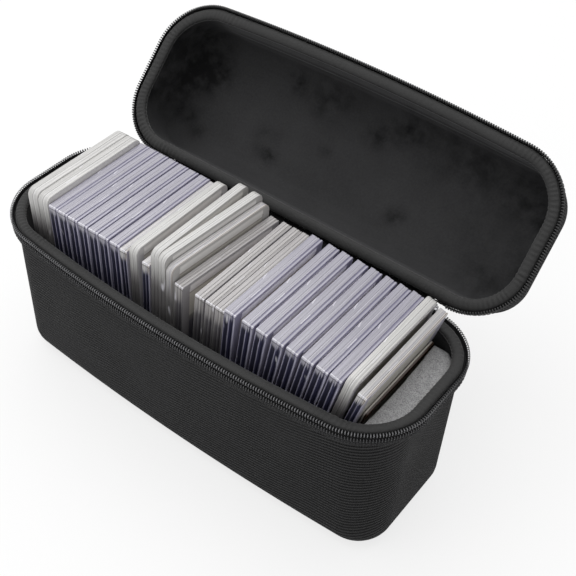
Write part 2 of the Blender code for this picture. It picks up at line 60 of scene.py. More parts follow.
RIM_HALF_LENGTH = 0.14958
RIM_HALF_WIDTH = 0.0501
RIM_CORNER_R = 0.0345
BASE_DEPTH = 0.1155
HINGE_Y = 0.0558
HINGE_Z = 0.1125
HINGE_HALF_LENGTH = 0.10508
LID_GAP = 0.0020
LID_OPEN = math.radians(134)
SHELL_WALL = 0.0022
LINING_WALL = 0.0010
PIECE_GAP = 0.0003
BODY_INSET = 0.0026
BAND_HEIGHT = 0.0030
FLANGE_OUT = 0.0007
FLANGE_HEIGHT = 0.0072
CORNER_STEPS = 18
BACK_STEPS = 44
END_STEPS = 10
FRONT_STEPS = 88
EDGE_STEPS = 10
WALL_STEPS = 14
RIB_PITCH = 0.0026
RIB_SKEW = -0.16
RIB_PULL = 0.012
YARN_PITCH = 0.0018
LOW_BOW_SHARE = 0.5
TURN_IN = 0.001

# A half's sizes. Out is the way its depth runs from the rim in its own frame, and place sets
# that frame in the open case.
Half = namedtuple(
    "Half", "name depth draft top_r low_r edge_r shell_share lining_share bow out place"
)
lid_turn = (
    Matrix.Translation((0, HINGE_Y, HINGE_Z))
    @ Matrix.Rotation(-LID_OPEN, 4, "X")
    @ Matrix.Translation((0, -HINGE_Y, BASE_DEPTH + LID_GAP - HINGE_Z))
)
BASE = Half(
    "base", BASE_DEPTH, 0.0023, 0.028, 0.021, 0.0137, 0.66, 0.36, 0.011, -1,
    Matrix.Translation((0, 0, BASE_DEPTH)),
)
LID = Half("lid", 0.0485, 0.001, 0.027, 0.025, 0.0175, 0.87, 0.80, 0.006, 1, lid_turn)


def arc(centre_x, centre_y, radius, start, end, steps):
    points = []
    for i in range(steps + 1):
        angle = math.radians(start + (end - start) * i / steps)
        points.append((centre_x + radius * math.cos(angle), centre_y + radius * math.sin(angle)))
    return points


def outline(offset, radius, bow, start_x, end_x, finer=1):
    """The rim seen from above, from the back right round the bowed front to the back left."""
    turn, back, end, front = (finer * n for n in (CORNER_STEPS, BACK_STEPS, END_STEPS, FRONT_STEPS))
    side = RIM_HALF_LENGTH + offset
    edge = RIM_HALF_WIDTH + offset
    reach = side - radius
    depth = edge - radius
    points = [(start_x + (reach - start_x) * i / back, edge) for i in range(back)]
    points += arc(reach, depth, radius, 90, 0, turn)
    points += [(side, depth - 2 * depth * i / end) for i in range(1, end)]
    points += arc(reach, -depth, radius, 0, -90, turn)
    points += [(reach - 2 * reach * i / front, -edge) for i in range(1, front)]
    points += arc(-reach, -depth, radius, -90, -180, turn)
    points += [(-side, -depth + 2 * depth * i / end) for i in range(1, end)]
    points += arc(-reach, depth, radius, 180, 90, turn)
    points += [(-reach + (end_x + reach) * i / back, edge) for i in range(1, back + 1)]
    bowed = []
    for x, y in points:
        fullness = max(0, 1 - (x / RIM_HALF_LENGTH) ** 2)
        bowed.append((x, y + bow * fullness * min(0, y / edge)))
    return bowed


def body_ring(half, depth, wall):
    share = depth / half.depth
    radius = half.top_r + (half.low_r - half.top_r) * share - wall
    bow = half.bow * (1 - (1 - LOW_BOW_SHARE) * share)
    points = outline(-(BODY_INSET + half.draft * share + wall), radius, bow, 0, 0)
    return [(x, y, half.out * depth) for x, y in points[:-1]]


def pan_rings(half, top_depth, wall, edge_r):
    """Rings down the wall of a tray and round its floor edge."""
    last = half.depth - wall - edge_r
    rings = []
    for i in range(WALL_STEPS):
        rings.append(body_ring(half, top_depth + (last - top_depth) * i / WALL_STEPS, wall))
    for i in range(EDGE_STEPS + 1):
        angle = math.pi / 2 * i / EDGE_STEPS
        depth = half.depth - wall - edge_r * (1 - math.sin(angle))
        rings.append(body_ring(half, depth, wall + edge_r * (1 - math.cos(angle))))
    return rings


def linked(name, data):
    made = bpy.data.objects.new(name, data)
    bpy.context.scene.collection.objects.link(made)
    return made


def mesh_of(bm, name):
    """The mesh of what was built, with its faces turned outwards."""
    bmesh.ops.recalc_face_normals(bm, faces=bm.faces)
    mesh = bpy.data.meshes.new(name)
    bm.to_mesh(mesh)
    bm.free()
    return mesh


def skin(name, rings, place, closed_path=True, closed_section=False):
    """Skins rings of points. The map "cloth" holds the way along the rim and down the section."""
    bm = bmesh.new()
    cloth = bm.loops.layers.uv.new("cloth")
    rows = [[bm.verts.new(point) for point in ring] for ring in rings]
    count = len(rings[0])
    middle = count // 2
    longest = max(rings, key=lambda ring: sum(math.dist(a, b) for a, b in zip(ring, ring[1:])))
    along = [0]
    for a, b in zip(longest, longest[1:] + longest[:1]):
        along.append(along[-1] + math.dist(a, b))
    down = [0]
    for one, two in zip(rings, rings[1:] + rings[:1]):
        down.append(down[-1] + math.dist(one[middle], two[middle]))
    for i in range(len(rows) if closed_section else len(rows) - 1):
        below = (i + 1) % len(rows)
        for j in range(count if closed_path else count - 1):
            after = (j + 1) % count
            face = bm.faces.new((rows[i][j], rows[i][after], rows[below][after], rows[below][j]))
            face.smooth = True
            near, far, high, low = along[j], along[j + 1], down[i], down[i + 1]
            corners = ((near, high), (far, high), (far, low), (near, low))
            for loop, corner in zip(face.loops, corners):
                loop[cloth].uv = corner
    caps = []
    if not closed_section:
        caps += [bm.faces.new(rows[0]), bm.faces.new(rows[-1])]
    if not closed_path:
        caps += [bm.faces.new([row[0] for row in rows]), bm.faces.new([row[-1] for row in rows])]
    for cap in caps:
        for loop in cap.loops:
            loop[cloth].uv = loop.vert.co.xy
    mesh = mesh_of(bm, name)
    mesh.transform(place)
    return linked(name, mesh)


def linear(code):
    """An sRGB hex colour as linear red, green, blue and alpha."""
    shares = [int(code[i : i + 2], 16) / 255 for i in (1, 3, 5)]
    return [s / 12.92 if s <= 0.04045 else ((s + 0.055) / 1.055) ** 2.4 for s in shares] + [1]


def put(tree, kind, inputs=None, **settings):
    """Adds a node with its settings, values and links. A node as a value is its first output."""
    made = tree.nodes.new(kind)
    for key, value in settings.items():
        setattr(made, key, value)
    for key, value in (inputs or {}).items():
        if isinstance(value, bpy.types.Node):
            value = value.outputs[0]
        if isinstance(value, bpy.types.NodeSocket):
            tree.links.new(value, made.inputs[key])
        else:
            made.inputs[key].default_value = value
    return made


def maths(tree, operation, *values):
    return put(tree, "ShaderNodeMath", dict(enumerate(values)), operation=operation)


def mapped(tree, value, low, high, to_low, to_high):
    """Maps a range to another, and holds what lies outside it at the nearer end."""
    ends = {0: value, 1: low, 2: high, 3: to_low, 4: to_high}
    return put(tree, "ShaderNodeMapRange", ends)


def new_finish(name, roughness, **values):
    material = bpy.data.materials.new(name)
    material.use_nodes = True
    shader = material.node_tree.nodes["Principled BSDF"]
    shader.inputs["Roughness"].default_value = roughness
    for key, value in values.items():
        shader.inputs[key.replace("_", " ")].default_value = value
    return material, material.node_tree, shader


def dress(tree, shader, tone, dark, light, height=None, distance=0, strength=0):
    """Colours a finish from dark to light by a tone, and raises its surface by a height."""
    stops = {"Factor": tone, 6: linear(dark), 7: linear(light)}
    colour = put(tree, "ShaderNodeMix", stops, data_type="RGBA")
    tree.links.new(colour.outputs[2], shader.inputs["Base Color"])
    if height:
        relief = {"Height": height, "Distance": distance, "Strength": strength}
        bump = put(tree, "ShaderNodeBump", relief)
        tree.links.new(bump.outputs[0], shader.inputs["Normal"])


# Ballistic polyester: matt ribs that run nearly level round the case, crossed by finer yarns, strong in places and
# worn faint in others, and stronger still toward the right end, which is painted light standing in for light
# raking the weave there. Real ribs are about 1 mm apart. They are drawn at 2.6 mm, so that the rows still show.
cover_cloth, tree, shader = new_finish(
    "ballistic_polyester", 0.85, Sheen_Weight=0.04, Sheen_Roughness=0.5, Specular_IOR_Level=0.2
)
cloth_map = put(tree, "ShaderNodeUVMap", uv_map="cloth")
along, down, _ = put(tree, "ShaderNodeSeparateXYZ", {0: cloth_map}).outputs
where = put(tree, "ShaderNodeTexCoord").outputs["Object"]
# The cloth is pulled a little askew and wavy as the shell is pressed
pulled = put(tree, "ShaderNodeTexNoise", {"Vector": where, "Scale": 14, "Detail": 1})
skew = maths(tree, "MULTIPLY_ADD", along, RIB_SKEW, down)
skew = maths(tree, "MULTIPLY_ADD", pulled, RIB_PULL, skew)
warp = maths(tree, "MULTIPLY", along, 2 * math.pi / YARN_PITCH)
weft = maths(tree, "MULTIPLY", skew, 2 * math.pi / RIB_PITCH)
warp = maths(tree, "SINE", warp)
weft = maths(tree, "SINE", weft)
crossing = maths(tree, "MULTIPLY", warp, weft)
yarns = maths(tree, "MULTIPLY_ADD", crossing, 0.6, weft)
strong = mapped(tree, pulled, 0.42, 0.56, 0.3, 1.2)
yarns = maths(tree, "MULTIPLY", yarns, strong)
# The ribs stand out most toward the right end: painted light, as if a lamp raked the weave there
rightward = put(tree, "ShaderNodeSeparateXYZ", {0: where})
strong = mapped(tree, rightward, -0.05, 0.11, 0.9, 2.0)
yarns = maths(tree, "MULTIPLY", yarns, strong)
slubs = put(tree, "ShaderNodeTexNoise", {"Vector": where, "Scale": 650, "Detail": 2})
slubs = maths(tree, "MULTIPLY_ADD", slubs, 1.8, yarns)
worn = put(tree, "ShaderNodeTexNoise", {"Vector": where, "Scale": 45, "Detail": 4})
tone = mapped(tree, slubs, -0.3, 2.1, -0.25, 0.75)
tone = maths(tree, "MULTIPLY_ADD", worn, 0.4, tone)
dress(tree, shader, tone, "#020203", "#282829", slubs, 0.0003, 0.9)


def make_cover(half):
    top = BAND_HEIGHT + PIECE_GAP
    bottom = top + FLANGE_HEIGHT
    radius = RIM_CORNER_R + FLANGE_OUT
    flange = []
    for depth in (top, bottom):
        points = outline(FLANGE_OUT, radius, half.bow, 0, 0)[:-1]
        flange.append([(x, y, half.out * depth) for x, y in points])
    inner = pan_rings(half, top, SHELL_WALL, half.shell_share * half.edge_r)
    outer = pan_rings(half, bottom + TURN_IN, 0, half.edge_r)
    cover = skin(half.name + "_cover", inner[::-1] + flange + outer, half.place)
    cover.data.materials.append(cover_cloth)
    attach(cover, half.name)
    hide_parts(half.name + "_shell")


for half in (BASE, LID):
    make_cover(half)


# Linings. A velvet with a short brushed pile is pressed into each tray with the foam, which leaves a soft welt
# where walls and floor meet and a little slack on the floor. The lid's has darker patches: some are pile brushed
# by hands, and some are painted shade, broad over its right end and along its far wall.

FLOOR_RINGS = 60
WELT = 0.0006
WELT_RINGS = (WALL_STEPS - 3, WALL_STEPS + 1, WALL_STEPS + EDGE_STEPS - 2)
WELT_END = 0.125
WELT_FADE = 0.02
SAG = 0.0004
SAG_RISE = 6
SAG_WAVES = 45

# Dark patches on the lid's lining, some brushed pile and some painted shade over its right end and far wall: way
# along and across the lid, reach and depth of shade
BRUSHED_AND_SHADED = (
    (-0.143, -0.012, 0.016, 1.0), (-0.127, -0.012, 0.012, 0.8), (-0.121, -0.022, 0.007, 0.7),
    (-0.146, 0.014, 0.014, 0.9), (-0.136, -0.036, 0.010, 0.8), (-0.065, -0.034, 0.007, 1.2),
    (-0.040, -0.030, 0.014, 0.45), (-0.130, 0.020, 0.006, 0.45), (-0.120, 0.028, 0.006, 0.4),
    (-0.070, 0.012, 0.011, 0.5), (-0.060, 0.020, 0.005, 0.9), (0.026, -0.037, 0.012, 0.8),
    (0.006, -0.024, 0.010, 0.7), (0.043, 0.018, 0.007, 0.8), (0.080, -0.036, 0.018, 0.55),
    (0.120, -0.034, 0.018, 0.75), (0.142, -0.018, 0.014, 0.9), (0.142, 0.014, 0.014, 0.9),
    (0.116, 0.032, 0.014, 0.5), (0.100, -0.002, 0.030, 0.22), (-0.024, -0.001, 0.007, 0.35),
    (-0.030, -0.044, 0.020, 0.35), (0.050, -0.044, 0.022, 0.4),
)

velvet, tree, shader = new_finish(
    "brushed_velvet", 0.95, Sheen_Weight=0.3, Sheen_Roughness=0.35, Specular_IOR_Level=0.15
)
shader.inputs["Sheen Tint"].default_value = linear("#b4b4b6")
where = put(tree, "ShaderNodeTexCoord").outputs["Object"]
smudge = put(tree, "ShaderNodeTexNoise", {"Vector": where, "Scale": 110, "Detail": 5})
smudge = mapped(tree, smudge, 0.35, 0.65, 0.3, 1.5)
# Darker where the pile is brushed and where shade is painted in
brushed = put(tree, "ShaderNodeAttribute", attribute_name="brushed")
patch = maths(tree, "MULTIPLY", brushed.outputs["Fac"], smudge)
patch = mapped(tree, patch, 0.05, 1.4, 0, 1)
pile = put(tree, "ShaderNodeTexNoise", {"Vector": where, "Scale": 700, "Detail": 2})
soft = put(tree, "ShaderNodeTexNoise", {"Vector": where, "Scale": 38, "Detail": 3})
mixed = maths(tree, "ADD", pile, soft)
shade = maths(tree, "MULTIPLY_ADD", mixed, 0.5, patch)
shade = maths(tree, "SUBTRACT", shade, 0.34)
dress(tree, shader, shade, "#3b3b3c", "#1b1b1c", pile, 0.0003, 0.6)


def make_lining(half):
    top = BAND_HEIGHT + PIECE_GAP
    outside = SHELL_WALL + PIECE_GAP
    inner = pan_rings(half, top, outside + LINING_WALL, half.lining_share * half.edge_r)
    for i, ring in enumerate(inner):
        full = WELT * sum(math.exp(-((i - welt) ** 2)) for welt in WELT_RINGS)
        for j, (x, y, z) in enumerate(ring):
            proud = full * min(1, max(0, (WELT_END - abs(x)) / WELT_FADE))
            x *= 1 - proud / RIM_HALF_LENGTH
            y *= 1 - proud / RIM_HALF_WIDTH
            ring[j] = (x, y, z - half.out * proud)
    floor_rings = []
    for i in range(1, FLOOR_RINGS):
        share = i / FLOOR_RINGS
        slack = half.out * SAG * min(1, SAG_RISE * (1 - share))
        ring = []
        for x, y, z in inner[-1]:
            flat = Vector((x * share, y * share, 0))
            ring.append((flat.x, flat.y, z + slack * (1 + noise.noise(flat * SAG_WAVES))))
        floor_rings.append(ring)
    outer = pan_rings(half, top, outside, half.shell_share * half.edge_r - PIECE_GAP)
    lining = skin(half.name + "_velvet", floor_rings + inner[::-1] + outer, half.place)
    shade = lining.data.attributes.new("brushed", "FLOAT", "POINT")
    back = half.place.inverted()
    # Brushed patches and painted shade, on the lid alone
    spots = BRUSHED_AND_SHADED if half is LID else ()
    for vertex, value in zip(lining.data.vertices, shade.data):
        x, y, _ = back @ vertex.co
        for spot_x, spot_y, reach, dark in spots:
            away = ((x - spot_x) ** 2 + (y - spot_y) ** 2) / reach**2
            value.value += dark * math.exp(-away)
    lining.data.materials.append(velvet)
    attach(lining, half.name)
    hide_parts(half.name + "_lining")


for half in (BASE, LID):
    make_lining(half)


# Bindings. A padded strip of smooth tricot is folded over the edge of shell and lining and
# sewn down. It is plump, a little lighter than the rest, and gathered round the corners.

BAND_OUT = {"base": -0.0005, "lid": 0.0002}
BAND_IN = -0.0073
BAND_STEPS = 14
BAND_ROUNDNESS = 0.6
GATHER = 0.0006
GATHER_PITCH = 0.0032
GATHER_FINENESS = 4
GATHER_DRIFT = 2.5
GATHER_DEPTH_SHARE = 0.6
GATHER_UNEVEN_SHARE = 0.8
GATHER_PULL = 0.5
GATHER_SINK = 0.6
STRAIGHT_GATHER_SHARE = 0.2

binding_cloth, tree, shader = new_finish(
    "tricot_binding", 0.75, Sheen_Weight=0.2, Sheen_Roughness=0.4
)
where = put(tree, "ShaderNodeTexCoord").outputs["Object"]
cloth_map = put(tree, "ShaderNodeUVMap", uv_map="cloth")
knit = put(tree, "ShaderNodeTexNoise", {"Vector": where, "Scale": 800, "Detail": 2})
cloudy = put(tree, "ShaderNodeTexNoise", {"Vector": where, "Scale": 90, "Detail": 3})
tone = maths(tree, "MULTIPLY_ADD", knit, 0.4, cloudy)
dress(tree, shader, tone, "#0b0b0b", "#1f1f1f", knit, 0.0003, 0.7)


def make_binding(half):
    """Gathers run across the inner edge, deeper round the corners than along the straights."""
    middle = outline(0, RIM_CORNER_R, half.bow, 0, 0, GATHER_FINENESS)[:-1]
    gathers = []
    way = 0
    for i, (x, y) in enumerate(middle):
        way += math.dist(middle[i - 1], middle[i]) if i else 0
        into_corner = (abs(x) - RIM_HALF_LENGTH + 2 * RIM_CORNER_R) / RIM_CORNER_R
        cornered = min(1, max(STRAIGHT_GATHER_SHARE, into_corner))
        drift = GATHER_DRIFT * noise.noise(Vector((way * 70, 0, 0)))
        uneven = GATHER_UNEVEN_SHARE * noise.noise(Vector((way * 110, 5, 0)))
        depth = GATHER_DEPTH_SHARE + uneven
        phase = 2 * math.pi * way / GATHER_PITCH + drift
        gathers.append(GATHER * cornered * depth * math.sin(phase))
    edge = BAND_OUT[half.name]
    rings = []
    for i in range(BAND_STEPS + 1):
        angle = math.pi * i / BAND_STEPS
        inner_share = (1 - math.cos(angle)) / 2
        offset = edge + (BAND_IN - edge) * inner_share
        depth = BAND_HEIGHT * (1 - math.sin(angle) ** BAND_ROUNDNESS)
        ring = []
        points = outline(offset, RIM_CORNER_R + offset, half.bow, 0, 0, GATHER_FINENESS)[:-1]
        for (x, y), gather in zip(points, gathers):
            pull = gather * inner_share * GATHER_PULL
            sink = depth - gather * GATHER_SINK * math.sin(angle)
            x *= 1 + pull / RIM_HALF_LENGTH
            y *= 1 + pull / RIM_HALF_WIDTH
            ring.append((x, y, half.out * sink))
        rings.append(ring)
    binding = skin(half.name + "_binding", rings, half.place, closed_section=True)
    binding.data.materials.append(binding_cloth)
    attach(binding, half.name)
    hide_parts(half.name + "_rim_band")


for half in (BASE, LID):
    make_binding(half)


# Zip tapes. Woven polyester tape stands outside the flange. A cord is woven in under the
# coil and a second ridge is its folded lower edge, with a row of lockstitch between the two.

TAPE_IN = 0.0010
TAPE_OUT = 0.0018
TAPE_TOP = 0.0010
TAPE_LOW = 0.0102
TAPE_STEPS = 30
CORD_DEPTH = 0.0058
SEAM_DEPTH = 0.0072
FOLD_DEPTH = 0.0088
RIDGE = 0.0003
RIDGE_REACH = 0.0007
TAPE_LEAN = 0.0006
TEETH_PITCH = 0.00165
TAPE_END = HINGE_HALF_LENGTH + 0.0007
STITCH_PITCH = 0.0028
# The dark behind the coil: where it ends, over what depth, and what is left of the light
SHADE_DEPTH = 0.0046
SHADE_FADE = 0.001
LID_SHADE_LIGHT = 0.3

tape_cloth, tree, shader = new_finish("woven_zip_tape", 0.85, Specular_IOR_Level=0.15)
cloth_map = put(tree, "ShaderNodeUVMap", uv_map="cloth")
along, _, _ = put(tree, "ShaderNodeSeparateXYZ", {0: cloth_map}).outputs
picks = maths(tree, "MULTIPLY", along, 2 * math.pi / TEETH_PITCH)
picks = maths(tree, "SINE", picks)
# The strip from the rim down to the coil's lower ends lies in the dark behind the coil, less
# so on the open lid
lower = put(tree, "ShaderNodeAttribute", attribute_name="low")
tone = mapped(tree, picks, -1, 1, 0.35, 0.75)
tone = maths(tree, "MULTIPLY", tone, lower.outputs["Fac"])
dress(tree, shader, tone, "#040405", "#3a3a3b", picks, 0.0002, 0.8)


def tape_section():
    """Offset and depth of the tape's section, with its two ridges."""
    section = [(TAPE_IN, TAPE_LOW), (TAPE_IN, TAPE_TOP)]
    for i in range(TAPE_STEPS + 1):
        depth = TAPE_TOP + (TAPE_LOW - TAPE_TOP) * i / TAPE_STEPS
        proud = 0
        for ridge in (CORD_DEPTH, FOLD_DEPTH):
            proud += RIDGE * math.exp(-(((depth - ridge) / RIDGE_REACH) ** 2))
        lean = TAPE_LEAN * (depth - TAPE_TOP) / (TAPE_LOW - TAPE_TOP)
        section.append((TAPE_OUT + proud - lean, depth))
    return section


def strip(name, half, section, start_x, end_x):
    """Sweeps a section of offsets and depths along the rim, open at the hinge."""
    rings = []
    for offset, depth in section:
        points = outline(offset, RIM_CORNER_R + offset, half.bow, start_x, end_x)
        rings.append([(x, y, half.out * depth) for x, y in points])
    return skin(name, rings, half.place, closed_path=False, closed_section=True)


def repeat_along(name, half, unit, pitch, offset, depth, start_x, end_x, material):
    """Geometry Nodes set copies of a small mesh along the rim, turned with it."""
    points = outline(offset, RIM_CORNER_R + offset, half.bow, start_x, end_x)
    curve = bpy.data.curves.new(name + "_path", "CURVE")
    curve.dimensions = "3D"
    spline = curve.splines.new("POLY")
    spline.points.add(len(points) - 1)
    for target, (x, y) in zip(spline.points, points):
        target.co = (x, y, half.out * depth, 1)
    carrier = linked(name + "_path", curve)
    tree = bpy.data.node_groups.new(name + "_rows", "GeometryNodeTree")
    tree.interface.new_socket("Path", in_out="INPUT", socket_type="NodeSocketGeometry")
    pitch_input = tree.interface.new_socket("Pitch", in_out="INPUT", socket_type="NodeSocketFloat")
    unit_input = tree.interface.new_socket("Unit", in_out="INPUT", socket_type="NodeSocketObject")
    tree.interface.new_socket("Row", in_out="OUTPUT", socket_type="NodeSocketGeometry")
    given = put(tree, "NodeGroupInput")
    lengths = {"Curve": given.outputs["Path"], "Length": given.outputs["Pitch"]}
    even = put(tree, "GeometryNodeResampleCurve", lengths, mode="LENGTH")
    tangent = put(tree, "GeometryNodeInputTangent")
    turned = put(
        tree, "FunctionNodeAlignRotationToVector", {"Vector": tangent}, axis="X", pivot_axis="Z"
    )
    source = put(tree, "GeometryNodeObjectInfo", {"Object": given.outputs["Unit"]})
    set_out = {"Points": even, "Instance": source.outputs["Geometry"], "Rotation": turned}
    copies = put(tree, "GeometryNodeInstanceOnPoints", set_out)
    solid = put(tree, "GeometryNodeRealizeInstances", {"Geometry": copies})
    painted = put(tree, "GeometryNodeSetMaterial", {"Geometry": solid, "Material": material})
    put(tree, "NodeGroupOutput", {"Row": painted})
    rows = carrier.modifiers.new("rows", "NODES")
    rows.node_group = tree
    rows[pitch_input.identifier] = pitch
    rows[unit_input.identifier] = unit
    graph = bpy.context.evaluated_depsgraph_get()
    mesh = bpy.data.meshes.new_from_object(carrier.evaluated_get(graph))
    bpy.data.objects.remove(carrier)
    mesh.transform(half.place)
    mesh.name = name
    return linked(name, mesh)


def tube(name, points, radii, sides):
    """A small tube through points, with closed ends."""
    bm = bmesh.new()
    rows = []
    for i, (point, radius) in enumerate(zip(points, radii)):
        ahead = Vector(points[min(i + 1, len(points) - 1)]) - Vector(points[max(i - 1, 0)])
        turn = ahead.to_track_quat("Z", "X")
        row = []
        for j in range(sides):
            angle = 2 * math.pi * j / sides
            out = turn @ Vector((radius * math.cos(angle), radius * math.sin(angle), 0))
            row.append(bm.verts.new(Vector(point) + out))
        rows.append(row)
    for one, two in zip(rows, rows[1:]):
        for j in range(sides):
            bm.faces.new((one[j], one[(j + 1) % sides], two[(j + 1) % sides], two[j])).smooth = True
    bm.faces.new(rows[0])
    bm.faces.new(rows[-1])
    return linked(name, mesh_of(bm, name))


def make_tape(half):
    tape = strip(half.name + "_tape", half, tape_section(), TAPE_END, -TAPE_END)
    lower = tape.data.attributes.new("low", "FLOAT", "POINT")
    back = half.place.inverted()
    for vertex, value in zip(tape.data.vertices, lower.data):
        depth = abs((back @ vertex.co).z)
        least = LID_SHADE_LIGHT if half is LID else 0
        value.value = min(1, max(least, (depth - SHADE_DEPTH) / SHADE_FADE))
    tape.data.materials.append(tape_cloth)
    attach(tape, half.name)
    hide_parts(half.name + "_zip_tape")


for half in (BASE, LID):
    make_tape(half)

# Spun polyester thread, dull black
thread, tree, shader = new_finish("spun_thread", 0.7)
where = put(tree, "ShaderNodeTexCoord").outputs["Object"]
twist = put(tree, "ShaderNodeTexNoise", {"Vector": where, "Scale": 2500})
dress(tree, shader, twist, "#171718", "#39393a")

stitch = tube(
    "stitch",
    [(-0.0011, 0.0001, 0), (-0.0008, 0.0003, 0), (0.0008, 0.0003, 0), (0.0011, 0.0001, 0)],
    [0.00012, 0.0002, 0.0002, 0.00012],
    6,
)
for half in (BASE, LID):
    seam = repeat_along(
        half.name + "_seam", half, stitch, STITCH_PITCH, TAPE_OUT, SEAM_DEPTH,
        TAPE_END, -TAPE_END, thread,
    )
    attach(seam, half.name)
bpy.data.objects.remove(stitch)


# Zip coils. Black nylon monofilament is wound into a coil and sewn to the edge of the tape.
# Each turn shows as a bead at the top edge, dips behind the sewing line and comes out below.

WIRE_R = 0.00027
COIL_OUT = {"base": 0.0013, "lid": 0.0010}
COIL_DEPTH = 0.00045
CROWN_DEPTH = 0.0014
CROWN_OUT = 0.0010
NECK_DEPTH = 2.4 * CROWN_DEPTH
TEETH_START = HINGE_HALF_LENGTH + 0.0100
# The lid's turns are drawn thicker, so that their fine gaps don't pale against the ground
WIRE_GAUGE = {"base": 1, "lid": 1.6}

# Extruded nylon: smooth and black. The outer crown of each turn carries a painted highlight, brightest along the
# front and faint toward the back, and a turn carries painted shade where it dips behind the sewing line. A point
# attribute holds this painted light: 1 on the crowns, and least behind the sewing line.
nylon, tree, shader = new_finish("nylon_coil", 0.35)
where = put(tree, "ShaderNodeTexCoord").outputs["Object"]
dust = put(tree, "ShaderNodeTexNoise", {"Vector": where, "Scale": 300, "Detail": 3})
crown = put(tree, "ShaderNodeAttribute", attribute_name="crown")
lit = mapped(tree, dust, 0.3, 0.7, 0.7, 1.1)
lit = maths(tree, "MULTIPLY", lit, crown.outputs["Fac"])
# Painted highlight, strong at the front and faint at the back
_, backward, _ = put(tree, "ShaderNodeSeparateXYZ", {0: where}).outputs
front_lit = mapped(tree, backward, -0.03, 0.035, 1, 0.08)
lit = maths(tree, "MULTIPLY", lit, front_lit)
dress(tree, shader, lit, "#0a0a0b", "#88888b")

for half in (BASE, LID):
    up = -half.out
    turn_path = [
        (0, -0.0001, -0.0006 * up), (0, -0.0002, 0.0002 * up), (0, 0.0001, 0.0008 * up),
        (0, 0.0006, 0.0009 * up), (0, 0.0013, 0.0004 * up), (0, 0.0014, -0.0004 * up),
        (0, 0.0007, -0.0013 * up), (0, 0.0001, -0.0022 * up), (0, 0.0002, -0.0030 * up),
        (0, 0.0009, -0.0038 * up), (0, 0.0010, -0.0050 * up), (0, 0.0004, -0.0060 * up),
    ]
    widths = (0.8, 1.0, 1.2, 1.2, 1.2, 1.1, 0.9, 0.7, 0.7, 1, 1, 0.7)
    radii = [WIRE_R * width * WIRE_GAUGE[half.name] for width in widths]
    tooth = tube("tooth", turn_path, radii, 6)
    crown = tooth.data.attributes.new("crown", "FLOAT", "POINT")
    # Painted light along each turn: highlight on the outer crown, less on its inner side, painted shade behind the
    # sewing line, and a little on the tails
    for vertex, value in zip(tooth.data.vertices, crown.data):
        drop = -vertex.co.z * up
        if drop < CROWN_DEPTH:
            value.value = 1 if vertex.co.y > CROWN_OUT else 0.3
        else:
            value.value = 0.05 if drop < NECK_DEPTH else 0.4
    coil = repeat_along(
        half.name + "_coil", half, tooth, TEETH_PITCH, COIL_OUT[half.name], COIL_DEPTH,
        TEETH_START, -TAPE_END, nylon,
    )
    bpy.data.objects.remove(tooth)
    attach(coil, half.name)
    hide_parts(half.name + "_zip_teeth")


# Hinge strip. One strip of woven webbing is sewn behind both flanges and bends along the
# back edge. It follows the base on one side of its fold and the lid on the other.

STRIP_THICKNESS = 0.0007
STRIP_STANDOFF = 0.0010
STRIP_INSET = 0.0012
STRIP_COLUMNS = 60
FOLD_SLACK = 0.0001
WEAVE_SHIFT = 0.007
# One leaf from its low edge to the fold: how far it stands out, and its depth under the rim
STRIP_LEAF = ((0, 0.0105), (0, 0.0075), (0.0001, 0.0050), (0.0016, 0.0038))


def plain_mesh(piece):
    """Puts a piece's modifiers into its mesh."""
    graph = bpy.context.evaluated_depsgraph_get()
    mesh = bpy.data.meshes.new_from_object(piece.evaluated_get(graph))
    piece.modifiers.clear()
    piece.data = mesh


leaf_y = RIM_HALF_WIDTH + STRIP_STANDOFF + STRIP_THICKNESS / 2
fold = [
    half.place @ Vector((0, leaf_y + out, half.out * depth))
    for half, leaf in ((BASE, STRIP_LEAF), (LID, STRIP_LEAF[::-1]))
    for out, depth in leaf
]
fold.insert(len(STRIP_LEAF), Vector((0, HINGE_Y + FOLD_SLACK, HINGE_Z + FOLD_SLACK)))
bm = bmesh.new()
cloth = bm.loops.layers.uv.new("cloth")
grid = []
for i in range(STRIP_COLUMNS + 1):
    x = (HINGE_HALF_LENGTH - STRIP_INSET) * (2 * i / STRIP_COLUMNS - 1)
    grid.append([bm.verts.new((x, p.y, p.z)) for p in fold])
for i in range(STRIP_COLUMNS):
    for j in range(len(fold) - 1):
        face = bm.faces.new((grid[i][j], grid[i][j + 1], grid[i + 1][j + 1], grid[i + 1][j]))
        face.smooth = True
        for loop in face.loops:
            loop[cloth].uv = (loop.vert.co.x, WEAVE_SHIFT + loop.vert.co.y)
hinge_strip = linked("hinge_strip", mesh_of(bm, "hinge_strip"))
hinge_strip.data.materials.append(tape_cloth)
smooth = hinge_strip.modifiers.new("smooth", "SUBSURF")
smooth.levels = 1
smooth.render_levels = 1
wall = hinge_strip.modifiers.new("wall", "SOLIDIFY")
wall.thickness = STRIP_THICKNESS
wall.offset = 0
plain_mesh(hinge_strip)
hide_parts("hinge_strip_base", "hinge_strip_lid")
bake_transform(hinge_strip)


# Zip slider and pull. Both are die-cast zinc with a dull gunmetal plating. The slider keeps
# the solid's form with its edges broken, and its pull hangs from the staple behind the case.

WELD_DISTANCE = 0.00001
BROKEN_EDGE = 0.00012

# Plated zinc: a dark grey metal with soft highlights and fine tumbling marks
gunmetal, tree, shader = new_finish("gunmetal_plating", 0.36, Metallic=1)
where = put(tree, "ShaderNodeTexCoord").outputs["Object"]
tumbled = put(tree, "ShaderNodeTexNoise", {"Vector": where, "Scale": 700, "Detail": 4})
dress(tree, shader, tumbled, "#6d6d70", "#a3a3a6")
dull = mapped(tree, tumbled, 0, 1, 0.25, 0.5)
tree.links.new(dull.outputs[0], shader.inputs["Roughness"])


